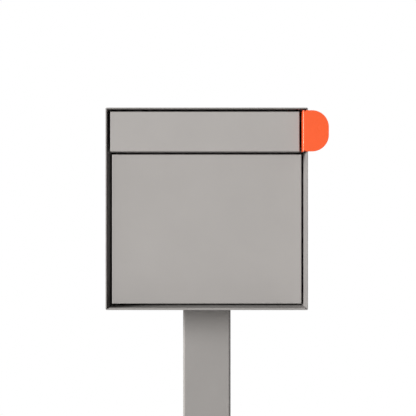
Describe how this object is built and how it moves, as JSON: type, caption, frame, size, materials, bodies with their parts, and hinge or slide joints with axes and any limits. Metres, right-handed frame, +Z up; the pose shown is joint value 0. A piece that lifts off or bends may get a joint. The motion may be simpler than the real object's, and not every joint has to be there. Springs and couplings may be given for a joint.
{
  "type": "post-mounted mailbox",
  "caption": "Square sheet-metal mailbox on a square tube post, with a top letter flap, a recessed hinged door, a concealed cam lock and a side signal flag.",
  "frame": {"origin": "centre of the base plate's underside, on the ground", "axes": "+Z up along the post, -Y out of the mailbox's front, +X to the right as seen from the front, the flag's side"},
  "size_m": [0.4479, 0.3073, 1.4732],
  "materials": {
    "grey_coat": "satin powder coat, warm grey",
    "orange_coat": "satin powder coat, orange",
    "zinc_steel": "bright zinc plate",
    "black_steel": "black zinc plate",
    "stainless": "plain stainless steel",
    "lock_brass": "satin brass",
    "nylon": "black nylon",
    "rubber": "matt black rubber"
  },
  "bodies": {
    "mailbox": {"base_plate": "grey_coat", "post_tube": "grey_coat", "post_cap_plate": "grey_coat", "shell_top": "grey_coat", "shell_right": "grey_coat", "shell_bottom": "grey_coat", "shell_left": "grey_coat", "back_panel": "grey_coat", "hinge_jamb": "grey_coat", "strike_jamb": "grey_coat", "sill_stop": "grey_coat", "transom": "grey_coat", "flap_lug_left": "grey_coat", "flap_lug_right": "grey_coat", "flag_leaf": "orange_coat", "floor_stiffener_plate": "zinc_steel", "mount_washer_1": "zinc_steel", "mount_washer_2": "zinc_steel", "mount_washer_3": "zinc_steel", "mount_washer_4": "zinc_steel", "mount_bolt_1": "zinc_steel", "mount_bolt_2": "zinc_steel", "mount_bolt_3": "zinc_steel", "mount_bolt_4": "zinc_steel", "flag_pin": "black_steel", "door_pin_top": "black_steel", "door_pin_bottom": "black_steel", "flag_spacer_lower": "black_steel", "flag_spacer_upper": "black_steel", "flag_stud_lower": "black_steel", "flag_stud_upper": "black_steel", "lock_body": "stainless", "lock_nut": "stainless", "door_thrust_washer": "nylon", "flap_bumper_left": "rubber", "flap_bumper_right": "rubber", "door_bumper_upper": "rubber", "door_bumper_lower": "rubber"},
    "door": {"door_panel": "grey_coat", "door_stiffener": "grey_coat"},
    "flap": {"flap_panel": "grey_coat", "flap_rod": "black_steel", "flap_rod_clip_left": "black_steel", "flap_rod_clip_right": "black_steel"},
    "lock_barrel": {"lock_plug": "lock_brass", "lock_cam": "zinc_steel", "lock_cam_screw": "zinc_steel"},
    "flag": {"flag_blade": "orange_coat"}
  },
  "joints": [
    {"name": "door_hinge", "type": "hinge", "parent": "mailbox", "child": "door", "pos_m": [-0.1888, -0.0904, 1.2273], "axis": [0, 0, -1], "range_deg": [0, 90]},
    {"name": "flap_hinge", "type": "hinge", "parent": "mailbox", "child": "flap", "pos_m": [-0.0038, -0.1294, 1.4591], "axis": [-1, 0, 0], "range_deg": [0, 88]},
    {"name": "lock_turn", "type": "hinge", "parent": "mailbox", "child": "lock_barrel", "pos_m": [0, -0.113, 1.405], "axis": [0, 1, 0], "range_deg": [0, 90]},
    {"name": "flag_hinge", "type": "hinge", "parent": "mailbox", "child": "flag", "pos_m": [0.1951, -0.1523, 1.42625], "axis": [0, 0, -1], "range_deg": [0, 90]}
  ]
}
